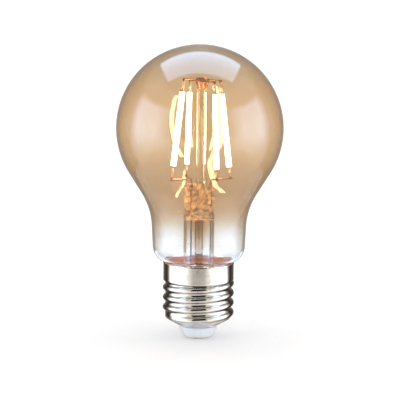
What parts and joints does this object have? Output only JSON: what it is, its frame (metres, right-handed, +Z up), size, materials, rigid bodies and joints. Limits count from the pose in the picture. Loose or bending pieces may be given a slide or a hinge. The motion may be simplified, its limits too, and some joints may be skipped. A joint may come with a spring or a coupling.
{
  "type": "smart filament light bulb",
  "caption": "Pear-shaped clear amber glass lamp with upright LED filaments on a glass stem, a radio driver hidden in its nickel-plated screw cap.",
  "frame": {"origin": "centre of the flat face of the centre contact, the lowest point of the lamp", "axes": "+Z up along the lamp's axis from cap to head; -Y is the side with the pumping hole and the radio board; the two leads lie along X"},
  "size_m": [0.061, 0.061, 0.1077],
  "materials": {
    "amber_glass": "thin clear glass with a light amber tint",
    "stem_glass": "clear stem glass",
    "bead_glass": "glass bead coloured by the sealed wires",
    "nickel_wire": "drawn nickel wire",
    "copper_wire": "copper clad wire",
    "lead_wire": "oxidised copper lead",
    "weld_metal": "small weld beads",
    "filament_pin": "flat metal pins",
    "filament_ceramic": "alumina strip",
    "led_chip": "small LED chips",
    "phosphor": "silicone with phosphor",
    "nickel_plate": "nickel plated brass sheet",
    "cap_cement": "baked cap cement",
    "white_plastic": "white moulded plastic",
    "contact_brass": "pressed contact plate",
    "sleeve_plastic": "thin insulating cup",
    "board_green": "solder-masked laminate",
    "board_black": "dark solder-masked laminate",
    "solder": "tin solder",
    "shield_metal": "tinned sheet",
    "chip_black": "moulded chip case",
    "tin_leg": "tinned legs",
    "can_aluminium": "aluminium can",
    "ferrite": "ferrite core",
    "enamel_copper": "enamelled copper winding",
    "film_yellow": "coated capacitor",
    "resistor_body": "lacquered resistor body",
    "gold_pin": "plated header pins"
  },
  "bodies": {
    "root": {"base_cement": "cap_cement", "bridge_rectifier": "chip_black", "bridge_rectifier_legs": "tin_leg", "capacitor_leads": "tin_leg", "centre_contact": "contact_brass", "choke_core": "ferrite", "choke_winding": "enamel_copper", "contact_wire": "copper_wire", "control_chip": "chip_black", "control_chip_legs": "tin_leg", "driver_board": "board_green", "driver_sleeve": "sleeve_plastic", "exhaust_tube": "stem_glass", "filament_1_chips": "led_chip", "filament_1_coating": "phosphor", "filament_1_pins": "filament_pin", "filament_1_strip": "filament_ceramic", "filament_2_chips": "led_chip", "filament_2_coating": "phosphor", "filament_2_pins": "filament_pin", "filament_2_strip": "filament_ceramic", "filament_3_chips": "led_chip", "filament_3_coating": "phosphor", "filament_3_pins": "filament_pin", "filament_3_strip": "filament_ceramic", "filament_4_chips": "led_chip", "filament_4_coating": "phosphor", "filament_4_pins": "filament_pin", "filament_4_strip": "filament_ceramic", "filament_welds": "weld_metal", "film_capacitor": "film_yellow", "fusible_resistor": "resistor_body", "glass_envelope": "amber_glass", "header_block": "chip_black", "header_pins": "gold_pin", "inner_lead_left": "nickel_wire", "inner_lead_right": "nickel_wire", "insulator": "white_plastic", "lead_solder": "solder", "lower_wire_left": "nickel_wire", "lower_wire_right": "nickel_wire", "outer_lead_left": "lead_wire", "outer_lead_right": "lead_wire", "pillar_bead": "bead_glass", "pillar_rod": "stem_glass", "radio_antenna": "tin_leg", "radio_board": "board_black", "radio_chip": "chip_black", "radio_shield": "shield_metal", "reservoir_capacitor": "can_aluminium", "resistor_leads": "tin_leg", "screw_shell": "nickel_plate", "sealing_wire_left": "copper_wire", "sealing_wire_right": "copper_wire", "shell_wire": "copper_wire", "small_chip_parts": "ferrite", "stem_flare": "stem_glass", "upper_wire_a": "nickel_wire", "upper_wire_b": "nickel_wire"}
  },
  "joints": []
}
